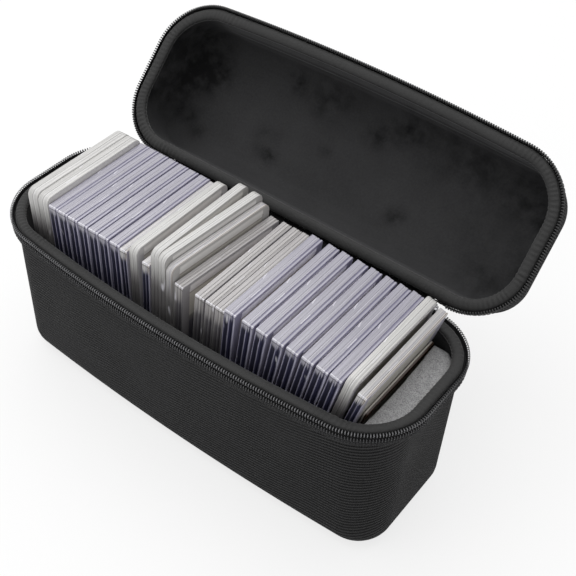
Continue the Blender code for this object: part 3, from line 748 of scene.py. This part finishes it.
def copy_of(node, name):
    """A welded copy of a node's mesh, without its material."""
    bm = bmesh.new()
    bm.from_mesh(frame["nodes"][node].data)
    bmesh.ops.remove_doubles(bm, verts=bm.verts, dist=WELD_DISTANCE)
    flat = math.radians(1)
    bmesh.ops.dissolve_limit(bm, angle_limit=flat, verts=bm.verts, edges=bm.edges)
    return linked(name, mesh_of(bm, name))


for node, name, body in (("zip_slider", "slider", "base"), ("zip_pull", "pull_tab", "pull")):
    piece = copy_of(node, name)
    piece.data.materials.append(gunmetal)
    edges = piece.modifiers.new("edges", "BEVEL")
    edges.width = BROKEN_EDGE
    edges.segments = 2
    edges.limit_method = "ANGLE"
    edges.angle_limit = math.radians(40)
    plain_mesh(piece)
    piece.data.shade_smooth()
    piece.data.set_sharp_from_angle(angle=math.radians(35))
    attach(piece, body)
    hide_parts(node)


# Foam block. Open-cell polyurethane cut with a knife: its faces are flat but rough with
# cut cells, its edges are soft, and its colour is mottled from light to mid grey.

CELL = 0.0009
CUT_DEPTH = 0.00016
# The cut faces' roughness: how fine each part is, and its share
ROUGHNESS = ((900, 0.8), (320, 0.2))

foam_finish, tree, shader = new_finish("open_cell_foam", 0.95, Specular_IOR_Level=0.1)
where = put(tree, "ShaderNodeTexCoord").outputs["Object"]
cells = put(tree, "ShaderNodeTexNoise", {"Vector": where, "Scale": 1500, "Detail": 3})
mottle = put(tree, "ShaderNodeTexNoise", {"Vector": where, "Scale": 260, "Detail": 2})
tone = maths(tree, "MULTIPLY_ADD", mottle, 0.25, cells)
tone = mapped(tree, tone, 0.42, 0.83, 0, 1)
dress(tree, shader, tone, "#858586", "#c6c6c7", cells, 0.0006, 0.7)

foam = copy_of("foam_block", "foam")
foam.data.materials.append(foam_finish)
cells = foam.modifiers.new("cells", "REMESH")
cells.mode = "VOXEL"
cells.voxel_size = CELL
cells.use_smooth_shade = True
soften = foam.modifiers.new("soften", "SMOOTH")
soften.factor = 0.5
soften.iterations = 3
plain_mesh(foam)
bm = bmesh.new()
bm.from_mesh(foam.data)
for vertex in bm.verts:
    rough = sum(share * noise.noise(vertex.co * fineness) for fineness, share in ROUGHNESS)
    vertex.co -= vertex.normal * CUT_DEPTH * (1 + rough)
bm.to_mesh(foam.data)
bm.free()
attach(foam, "base")
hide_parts("foam_block")


# Slabs. Each holder is two injection-moulded halves of clear styrene welded round their
# edge, with a card and its insert sealed inside. Seen edge on, the rails, the weld line and
# the insert between them show as stripes. Labels and cards are blank.

SLAB_CORNER_STEPS = 5
FRAME_WIDTH = 0.0050
FRAME_STEP = 0.0004
FACE_SHARES_PER_METRE = 7.6
# How far the haze's edge wanders, how soft it is, and what deeper haze adds to that
RAGGED = 0.012
HAZE_SOFTNESS = 0.0012
HAZE_SOFT_SHARE = 0.4
BRIM_DEPTH = 0.005
TOP_ROUND = 0.0015
FRONT_EDGE = -0.0402
LIT_DEPTH = 0.0011
# Real holders lie against each other, where the solids keep a gap
PRESSED = 0.00011
# Spreads the moulding marks from one holder to the next, over a length along the edge
LOT_STEP = 0.618
LOT_SPREAD = 0.016
# Moulding marks on an edge, drawn near white as painted glints: place and half width in shares of the thickness,
# then place along Y and half length. The snap catch lies askew, by shares of the thickness per metre.
CATCH = (0.35, 0.04, 0.010, 0.0024)
CATCH_SLANT = 28
RAIL = (0.66, 0.03, -0.004, 0.0045)
RAIL_LOTS_SHARE = 0.5
MARK_LIGHT = 0.55
STRIPE_WANDER_SHARE = 0.09
FADE_START = 0.004
FADE_END = 0.028
CARD_HALF_WIDTH = 0.0345
CARD_MARGIN = 0.0005

# An edge's corner radius, its inset at each share of the thickness from the left face, and
# how light its plastic is down from the top, in shares of the brim's depth
Edge = namedtuple("Edge", "corner profile brim")
WELDED = Edge(0.0050, (
    (0, 0.0005), (0.04, 0.0001), (0.08, 0), (0.46, 0), (0.48, 0.0002), (0.52, 0.0002),
    (0.54, 0), (0.92, 0), (0.96, 0.0001), (1, 0.0005),
), ((0, "#bcbcbc"), (1, "#bcbcbc")))
SNAPPED = Edge(0.0009, (
    (0, 0.0002), (0.04, 0), (0.40, 0), (0.43, 0.0002), (0.50, 0.0002), (0.53, 0),
    (0.70, 0), (0.72, 0.0003), (0.82, 0.0003), (0.84, 0), (0.96, 0), (1, 0.0002),
), (
    (0.14, "#bcbcbc"), (0.19, "#ececec"), (0.27, "#ececec"), (0.32, "#8f8f8f"), (0.42, "#8f8f8f"),
    (0.52, "#bcbcbc"),
))
FILM = Edge(0.0020, (
    (0, 0.0002), (0.2, 0), (0.45, 0), (0.5, 0.0002), (0.55, 0), (0.8, 0), (1, 0.0002),
), WELDED.brim)

# What a holder's edge shows: colours by share of the thickness on top and on the uprights, the colour of its face
# at the top and below, paled as painted light that stands in for light passing through the clear plastic, how far
# down its plastic looks hazy, and how dark it gets below that as painted shade deeper in the case
Look = namedtuple("Look", "edge top side face deep haze fade")
LILAC_TOP = (
    (0, "#b0aeb8"), (0.05, "#9795a3"), (0.12, "#9a98a3"), (0.42, "#9f9da7"), (0.48, "#b0aeb6"),
    (0.53, "#9b99a4"), (0.68, "#9e9ca6"), (0.73, "#737088"), (0.79, "#6d6a80"), (0.84, "#9593a2"),
    (0.93, "#aaa8b3"), (1, "#7f7c93"),
)
LILAC_SIDE = (
    (0, "#b4b2c2"), (0.07, "#7a7890"), (0.11, "#2c2c3d"), (0.41, "#252534"), (0.44, "#a8a6b9"),
    (0.50, "#8f8da3"), (0.54, "#31314a"), (0.84, "#29293c"), (0.88, "#9492a8"), (0.95, "#bbb9c9"),
    (1, "#9694a7"),
)
WHITE_TOP = (
    (0, "#d3d2d0"), (0.07, "#bebdbb"), (0.30, "#bcbbb9"), (0.44, "#c6c5c3"), (0.48, "#a8a7a6"),
    (0.53, "#d3d2d0"), (0.64, "#bdbcbb"), (0.78, "#b5b4b2"), (0.84, "#cccbc9"), (0.95, "#bab9b7"),
    (1, "#9f9e9e"),
)
WHITE_SIDE = (
    (0, "#d2d0cf"), (0.10, "#b4b1b1"), (0.30, "#a09d9e"), (0.40, "#bdbaba"), (0.47, "#8b8789"),
    (0.54, "#cac7c6"), (0.66, "#a5a1a2"), (0.78, "#c0bdbd"), (0.88, "#989495"), (1, "#c4c1c1"),
)
# The card's edge and the dark line beside it show through the holder's right side
CARD_TOP = (
    (0, "#c4c2c2"), (0.10, "#b5b3b4"), (0.34, "#bdbbbb"), (0.42, "#cfcdcc"), (0.50, "#a5a3a8"),
    (0.60, "#b1afb2"), (0.74, "#a8a6a8"), (0.81, "#e2ddd6"), (0.86, "#4a403b"), (0.92, "#a9a3a0"),
    (1, "#b8b3ae"),
)
GREY_TOP = (
    (0, "#b4b1b1"), (0.10, "#a09d9e"), (0.34, "#a8a5a4"), (0.42, "#8d8a8b"), (0.50, "#b7b4b3"),
    (0.62, "#a5a2a1"), (0.76, "#9b9897"), (0.84, "#7c7979"), (0.90, "#aca9a8"), (1, "#858284"),
)
GREY_SIDE = (
    (0, "#a5a3a3"), (0.12, "#7c797b"), (0.40, "#5d5a60"), (0.47, "#a3a1a4"), (0.56, "#6e6b70"),
    (0.84, "#57545a"), (0.92, "#9d9b9d"), (1, "#858386"),
)
SLEEVE_TOP = ((0, "#d8d2ca"), (0.45, "#e6e0d8"), (0.55, "#4a362c"), (1, "#3a2a22"))
LOOKS = {
    "white": Look(WELDED, WHITE_TOP, WHITE_SIDE, "#d6d4d2", "#e4e2e0", 0.016, 0.30),
    "clear": Look(SNAPPED, LILAC_TOP, LILAC_SIDE, "#9895a9", "#f0eef6", 0.0035, 0.9),
    "narrow": Look(SNAPPED, CARD_TOP, LILAC_SIDE, "#a9a6b2", "#e6e4ea", 0.0050, 0.7),
    "frosted": Look(WELDED, WHITE_TOP, WHITE_SIDE, "#b9b7b8", "#e0dedd", 0.014, 0.30),
    "tall": Look(WELDED, WHITE_TOP, WHITE_SIDE, "#b7b5b3", "#dddbd8", 0.016, 0.35),
    "middle": Look(WELDED, CARD_TOP, WHITE_SIDE, "#b2b0ae", "#dcdad7", 0.014, 0.35),
    "grey": Look(SNAPPED, GREY_TOP, GREY_SIDE, "#a09da0", "#e2dfe0", 0.010, 0.45),
    "sleeve": Look(FILM, SLEEVE_TOP, SLEEVE_TOP, "#6b5040", "#6b5040", 0, 0.8),
}


def ramp(tree, factor, stops):
    made = put(tree, "ShaderNodeValToRGB", {0: factor})
    colours = made.color_ramp.elements
    while len(colours) < len(stops):
        colours.new(1)
    for stop, (share, code) in zip(colours, stops):
        stop.position = share
        stop.color = linear(code)
    return made


def mark(tree, share, along, shape):
    """1 within a moulding mark, and 0 beside it."""
    place_share, half_share, place, half_length = shape
    across = maths(tree, "COMPARE", share, place_share, half_share)
    length = maths(tree, "COMPARE", along, place, half_length)
    return maths(tree, "MULTIPLY", across, length)


# Clear styrene seen edge on: glossy, with the insert's colour in stripes and drawn-out flow
# streaks. The attribute "place" holds the share of the thickness, the way along Y and the
# drop from the top, both in metres.
def slab_edge_finish(kind):
    look = LOOKS[kind]
    material, tree, shader = new_finish(
        kind + "_edge_styrene", 0.3, Coat_Weight=0.3, Coat_Roughness=0.15
    )
    place = put(tree, "ShaderNodeAttribute", attribute_name="place").outputs["Vector"]
    share, along, drop = put(tree, "ShaderNodeSeparateXYZ", {0: place}).outputs
    where = put(tree, "ShaderNodeTexCoord").outputs["Object"]
    # Streaks are a tenth of the thickness wide and about 45 mm long, and the holder's place
    # in the row shifts them
    drawn = put(tree, "ShaderNodeVectorMath", {0: place, 1: (10, 22, 22)}, operation="MULTIPLY")
    shifted = put(
        tree, "ShaderNodeVectorMath", {0: where, 1: (40, 0, 0), 2: drawn}, operation="MULTIPLY_ADD"
    )
    streak = put(tree, "ShaderNodeTexNoise", {"Vector": shifted, "Scale": 1, "Detail": 3})
    flow = put(tree, "ShaderNodeTexNoise", {"Vector": where, "Scale": 60, "Detail": 2})
    wander = maths(tree, "MULTIPLY_ADD", flow, STRIPE_WANDER_SHARE, share)
    wander = maths(tree, "SUBTRACT", wander, STRIPE_WANDER_SHARE / 2)
    top = ramp(tree, wander, look.top)
    side = ramp(tree, wander, look.side)
    # The plastic scatters light near its top edge, so the dark insert shows from there down
    ragged = maths(tree, "MULTIPLY_ADD", streak, -RAGGED, drop)
    edge = look.haze - RAGGED / 2
    clear = edge + HAZE_SOFTNESS + HAZE_SOFT_SHARE * look.haze
    below = mapped(tree, ragged, edge, clear, 0, 1)
    mixed = put(tree, "ShaderNodeMix", {"Factor": below, 6: top, 7: side}, data_type="RGBA")
    # Painted shade: the edge darkens with depth down into the case
    depth = mapped(tree, drop, FADE_START, FADE_END, 1, look.fade)
    cloud = mapped(tree, streak, 0.3, 0.7, 0.78, 1.18)
    level = maths(tree, "MULTIPLY", cloud, depth)
    # The top wall's thickness shows on the uprights as a light line with a darker one below.
    # Its grey #bcbcbc is half of white's light, so the level is doubled after it.
    brim = maths(tree, "MULTIPLY", drop, 1 / BRIM_DEPTH)
    brim = ramp(tree, brim, look.edge.brim)
    level = maths(tree, "MULTIPLY", level, brim)
    level = maths(tree, "MULTIPLY", level, 2.0)
    tinted = put(
        tree, "ShaderNodeVectorMath", {0: mixed.outputs[2], "Scale": level}, operation="SCALE"
    )
    # Each lot of holders has its snap catch and its sprung rail at a place of its own
    lot = put(tree, "ShaderNodeAttribute", attribute_name="lot").outputs["Fac"]
    moved = maths(tree, "MULTIPLY_ADD", lot, LOT_SPREAD, along)
    slanted = maths(tree, "MULTIPLY_ADD", moved, CATCH_SLANT, share)
    catch = mark(tree, slanted, moved, CATCH)
    rail = mark(tree, share, moved, RAIL)
    some = maths(tree, "GREATER_THAN", lot, RAIL_LOTS_SHARE)
    rail = maths(tree, "MULTIPLY", rail, some)
    # Small painted glints low in the moulding, on the uprights alone
    tall = put(tree, "ShaderNodeVectorMath", {0: where, 1: (200, 200, 60)}, operation="MULTIPLY")
    glint = put(tree, "ShaderNodeTexNoise", {"Vector": tall, "Scale": 1, "Detail": 1})
    glint = mapped(tree, glint, 0.70, 0.78, 0, 0.7)
    upright = maths(tree, "GREATER_THAN", drop, TOP_ROUND)
    glint = maths(tree, "MULTIPLY", glint, upright)
    # The catch, the rail and the glints get painted highlights, mixed toward near white below
    bright = maths(tree, "MAXIMUM", catch, rail)
    bright = maths(tree, "MULTIPLY", bright, MARK_LIGHT)
    bright = maths(tree, "MAXIMUM", bright, glint)
    if look.edge is SNAPPED:
        # Light gathers in the sharp front edge of the top
        front = maths(tree, "LESS_THAN", along, FRONT_EDGE)
        high = mapped(tree, drop, 0, LIT_DEPTH, 0.75, 0)
        line = maths(tree, "MULTIPLY", front, high)
        bright = maths(tree, "MAXIMUM", bright, line)
    stops = {"Factor": bright, 6: tinted, 7: linear("#e2e1e8")}
    done = put(tree, "ShaderNodeMix", stops, data_type="RGBA")
    tree.links.new(done.outputs[2], shader.inputs["Base Color"])
    bump = put(tree, "ShaderNodeBump", {"Height": streak, "Distance": 0.0003, "Strength": 0.2})
    tree.links.new(bump.outputs[0], shader.inputs["Normal"])
    return material


# The flat face: clear styrene over a blank label near the top and a blank card below it. Its colours are paled as
# painted light, standing in for light that passes through the clear holders.
def slab_face_finish(kind):
    look = LOOKS[kind]
    material, tree, shader = new_finish(kind + "_face_styrene", 0.45, Specular_IOR_Level=0.2)
    place = put(tree, "ShaderNodeAttribute", attribute_name="place").outputs["Vector"]
    _, along, drop = put(tree, "ShaderNodeSeparateXYZ", {0: place}).outputs
    # By the drop from the top, in shares of the face's height
    label_stops = (
        (0, look.face), (0.010, look.face), (0.020, look.deep), (0.058, look.deep),
        (0.062, "#8f867f"), (0.070, "#d2cec6"), (0.20, "#d6d3cc"), (0.215, "#a19e9b"),
        (0.25, "#77757e"), (1, "#5a5963"),
    )
    fallen = maths(tree, "MULTIPLY", drop, FACE_SHARES_PER_METRE)
    shown = ramp(tree, fallen, label_stops)
    across = maths(tree, "ABSOLUTE", along)
    rail = mapped(tree, across, CARD_HALF_WIDTH, CARD_HALF_WIDTH + CARD_MARGIN, 0, 1)
    mixed = put(
        tree, "ShaderNodeMix", {"Factor": rail, 6: shown, 7: linear(look.face)}, data_type="RGBA"
    )
    tree.links.new(mixed.outputs[2], shader.inputs["Base Color"])
    return material


def slab_mesh(name, kind, lot, thickness, width, height):
    """The welded holder in its own frame: X through its thickness, Z up from its foot."""
    edge = LOOKS[kind].edge
    bm = bmesh.new()
    place = bm.verts.layers.float_vector.new("place")
    lots = bm.verts.layers.float.new("lot")

    def ring(x, inset):
        half = width / 2 - inset
        radius = max(edge.corner - inset, edge.corner / 4)
        high = height - inset - radius
        low = inset + radius
        points = arc(half - radius, high, radius, 90, 0, SLAB_CORNER_STEPS)
        points += arc(half - radius, low, radius, 0, -90, SLAB_CORNER_STEPS)
        points += arc(radius - half, low, radius, -90, -180, SLAB_CORNER_STEPS)
        points += arc(radius - half, high, radius, 180, 90, SLAB_CORNER_STEPS)
        row = []
        for y, z in points:
            pressed = PRESSED * (2 * x / thickness - 1)
            vertex = bm.verts.new((x + pressed, y, z))
            vertex[place] = (x / thickness, y, height - z)
            vertex[lots] = lot
            row.append(vertex)
        return row

    frame_width = min(FRAME_WIDTH, height / 20)
    step = min(FRAME_STEP, thickness / 8)
    sections = [(step, frame_width + step, 1), (0, frame_width, 1)]
    sections += [(share * thickness, inset, 0) for share, inset in edge.profile]
    sections += [(thickness, frame_width, 1), (thickness - step, frame_width + step, 1)]
    rows = [ring(x, inset) for x, inset, _ in sections]
    for i in range(len(rows) - 1):
        flat = sections[i][2] == 1 or sections[i + 1][2] == 1
        for j in range(len(rows[0])):
            after = (j + 1) % len(rows[0])
            face = bm.faces.new((rows[i][j], rows[i][after], rows[i + 1][after], rows[i + 1][j]))
            face.material_index = 1 if flat else 0
            face.smooth = not flat
    for row in (rows[0], rows[-1]):
        bm.faces.new(row).material_index = 1
    mesh = mesh_of(bm, name)
    mesh.set_sharp_from_angle(angle=math.radians(30))
    return mesh


slab_finishes = {kind: (slab_edge_finish(kind), slab_face_finish(kind)) for kind in LOOKS}
bodies = frame["record"]["behaviour"]["bodies"]
for index, joint in enumerate(frame["joints"]):
    if not joint["name"].endswith("_lift"):
        continue
    node = bodies[joint["child"]][0]
    kind = "sleeve" if node == "card_sleeve" else node.split("_")[-1]
    up = Vector(joint["axis"]).normalized()
    turn = math.atan2(-up.y, up.x) if abs(up.y) > 0.0001 else 0
    along = Vector((math.sin(turn), math.cos(turn), 0))
    across = along.cross(up)
    corners = [v.co for v in frame["nodes"][node].data.vertices]
    spans = []
    for axis in (across, along, up):
        reach = [corner.dot(axis) for corner in corners]
        spans.append((min(reach), max(reach)))
    size = [high - low for low, high in spans]
    foot = across * spans[0][0] + along * sum(spans[1]) / 2 + up * spans[2][0]
    mesh = slab_mesh(node.replace("slab", "holder"), kind, index * LOT_STEP % 1, *size)
    mesh.transform(Matrix.Translation(foot) @ Matrix((across, along, up)).transposed().to_4x4())
    for finish in slab_finishes[kind]:
        mesh.materials.append(finish)
    holder = linked(mesh.name, mesh)
    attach(holder, joint["child"])
    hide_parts(node)


# Studio. The case stands on a pale sweep under broad soft light, and the camera looks down
# from the front right, as the photograph does.

FLOOR_SIZE = 8
FLOOR_DROP = 0.0002
FLOOR_GLOW = 0.76
SKY_LIGHT = 0.57
LAMP_TARGET = Vector((0, 0, 0.08))


def seen(tree):
    """1 where a camera ray looks, also by a mirror or through glass, and 0 for the lighting."""
    rays = put(tree, "ShaderNodeLightPath").outputs
    mirrored = maths(tree, "MAXIMUM", rays["Is Camera Ray"], rays["Is Glossy Ray"])
    return maths(tree, "MAXIMUM", mirrored, rays["Is Transmission Ray"])


# Matt paper: the camera sees it near white, and it still takes the case's shadow
paper, tree, shader = new_finish("pale_paper", 0.9)
shader.inputs["Base Color"].default_value = linear("#f4f4f4")
glow = put(tree, "ShaderNodeEmission", {"Color": (1, 1, 1, 1), "Strength": 1.0})
share = maths(tree, "MULTIPLY", seen(tree), FLOOR_GLOW)
both = put(tree, "ShaderNodeMixShader", {0: share, 1: shader, 2: glow})
tree.links.new(both.outputs[0], tree.nodes["Material Output"].inputs["Surface"])
bpy.ops.mesh.primitive_plane_add(size=FLOOR_SIZE, location=(0, 0, -FLOOR_DROP))
floor = bpy.context.object
floor.name = "floor"
floor.data.materials.append(paper)

world = bpy.data.worlds.new("studio")
world.use_nodes = True
bpy.context.scene.world = world
tree = world.node_tree
sky = tree.nodes["Background"]
level = mapped(tree, seen(tree), 0, 1, SKY_LIGHT, 1.0)
tree.links.new(level.outputs[0], sky.inputs["Strength"])
sky.inputs["Color"].default_value = (1, 1, 1, 1)

for name, place, size, power in (
    ("soft_box_top", (-0.5, 0.2, 1.7), 2.0, 24),
    ("soft_box_front", (-0.9, -1.2, 1.2), 1.0, 4),
):
    light = bpy.data.lights.new(name, "AREA")
    light.size = size
    light.energy = power
    lamp = linked(name, light)
    lamp.location = place
    aim = LAMP_TARGET - Vector(place)
    lamp.rotation_euler = aim.to_track_quat("-Z", "Y").to_euler()

# The camera that was fitted to the photograph, with its angles in radians
CAMERA_PLACE = (0.29832, -0.36530, 0.56559)
YAW = -0.60809
PITCH = 0.77498
ROLL = 0.06214
FOCAL_LENGTH_MM = 68.14
SENSOR_WIDTH_MM = 36
level_out = math.cos(PITCH)
ahead = Vector((math.sin(YAW) * level_out, math.cos(YAW) * level_out, -math.sin(PITCH)))
level_right = ahead.cross(Vector((0, 0, 1))).normalized()
level_up = level_right.cross(ahead)
right = math.cos(ROLL) * level_right + math.sin(ROLL) * level_up
up = -math.sin(ROLL) * level_right + math.cos(ROLL) * level_up
lens = bpy.data.cameras.new("camera")
lens.lens = FOCAL_LENGTH_MM
lens.sensor_width = SENSOR_WIDTH_MM
lens.clip_start = 0.05
camera = linked("camera", lens)
facing = Matrix((right, up, -ahead)).transposed().to_4x4()
camera.matrix_world = Matrix.Translation(CAMERA_PLACE) @ facing
bpy.context.scene.camera = camera
bpy.context.scene.view_settings.view_transform = "Standard"
